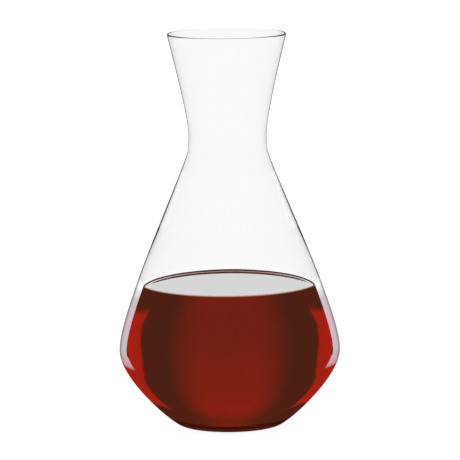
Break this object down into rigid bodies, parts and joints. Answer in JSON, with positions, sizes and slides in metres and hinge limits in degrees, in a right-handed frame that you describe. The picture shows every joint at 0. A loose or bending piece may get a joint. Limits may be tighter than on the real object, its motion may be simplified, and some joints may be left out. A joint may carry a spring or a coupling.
{
  "type": "wine decanter",
  "caption": "Clear blown-glass wine decanter with a flared mouth, narrow neck, conical shoulder and round belly on a small flat base, holding red wine.",
  "frame": {"origin": "centre of the standing ring, on the surface that the decanter stands on", "axes": "+Z along the axis of the vessel, up to the mouth; the vessel is the same all round, so +X and +Y are free"},
  "size_m": [0.1352, 0.1352, 0.24],
  "materials": {
    "clear_glass": "clear, fire-polished, gloss",
    "red_wine": "transparent deep red liquid, gloss surface"
  },
  "bodies": {
    "root": {"glass_body": "clear_glass", "red_wine": "red_wine"}
  },
  "joints": []
}
